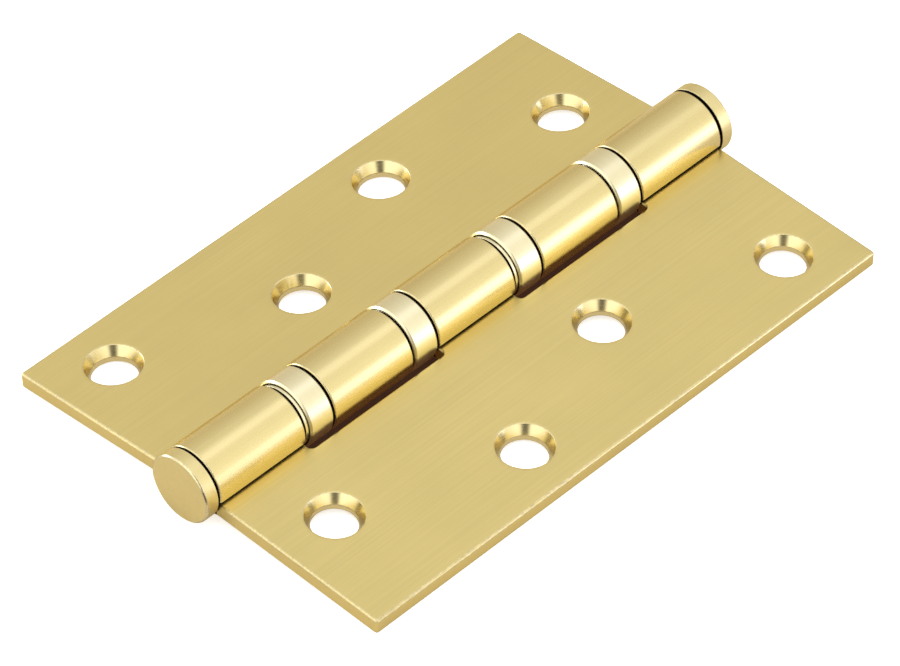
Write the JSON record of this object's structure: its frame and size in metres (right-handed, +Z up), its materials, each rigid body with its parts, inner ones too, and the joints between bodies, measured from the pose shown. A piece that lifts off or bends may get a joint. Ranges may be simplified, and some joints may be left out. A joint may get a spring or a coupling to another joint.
{
  "type": "ball bearing hinge",
  "caption": "Butt hinge with rolled knuckles turning on ball bearings, flat satin gold leaves with staggered countersunk screw holes and button caps on the pin.",
  "frame": {"origin": "under the middle of the barrel, on the surface the open hinge rests on", "axes": "+Y along the pin, +X out over the leaf with three knuckles, +Z up"},
  "size_m": [0.0698, 0.1052, 0.0108],
  "materials": {
    "leaf_gold": "brushed satin gold plating on steel",
    "bearing_gold": "fine turned pale gold plating",
    "cap_gold": "satin gold plating",
    "bright_steel": "ground bearing steel"
  },
  "bodies": {
    "three_knuckle_side": {"three_knuckle_leaf": "leaf_gold", "hinge_pin": "bright_steel", "near_cap": "cap_gold", "far_cap": "cap_gold", "flanged_race_1": "bearing_gold", "plain_race_2": "bright_steel", "bearing_cup_2": "bearing_gold", "flanged_race_3": "bearing_gold", "plain_race_4": "bright_steel", "bearing_cup_4": "bearing_gold"},
    "two_knuckle_side": {"two_knuckle_leaf": "leaf_gold", "plain_race_1": "bright_steel", "bearing_cup_1": "bearing_gold", "flanged_race_2": "bearing_gold", "plain_race_3": "bright_steel", "bearing_cup_3": "bearing_gold", "flanged_race_4": "bearing_gold"},
    "balls_1": {"ball_ring_1": "bright_steel"},
    "balls_2": {"ball_ring_2": "bright_steel"},
    "balls_3": {"ball_ring_3": "bright_steel"},
    "balls_4": {"ball_ring_4": "bright_steel"}
  },
  "joints": [
    {"name": "leaf_swing", "type": "hinge", "parent": "three_knuckle_side", "child": "two_knuckle_side", "pos_m": [0, 0, 0.0054], "axis": [0, 1, 0], "range_deg": [-84, 186]},
    {"name": "ball_ring_1_roll", "type": "hinge", "parent": "three_knuckle_side", "child": "balls_1", "pos_m": [0, 0, 0.0054], "axis": [0, 1, 0], "range_deg": [-45, 96]},
    {"name": "ball_ring_2_roll", "type": "hinge", "parent": "three_knuckle_side", "child": "balls_2", "pos_m": [0, 0, 0.0054], "axis": [0, 1, 0], "range_deg": [-45, 96]},
    {"name": "ball_ring_3_roll", "type": "hinge", "parent": "three_knuckle_side", "child": "balls_3", "pos_m": [0, 0, 0.0054], "axis": [0, 1, 0], "range_deg": [-45, 96]},
    {"name": "ball_ring_4_roll", "type": "hinge", "parent": "three_knuckle_side", "child": "balls_4", "pos_m": [0, 0, 0.0054], "axis": [0, 1, 0], "range_deg": [-45, 96]}
  ],
  "couplings": [
    {"joint": "ball_ring_1_roll", "follows": "leaf_swing", "ratio": 0.5},
    {"joint": "ball_ring_2_roll", "follows": "leaf_swing", "ratio": 0.5},
    {"joint": "ball_ring_3_roll", "follows": "leaf_swing", "ratio": 0.5},
    {"joint": "ball_ring_4_roll", "follows": "leaf_swing", "ratio": 0.5}
  ]
}
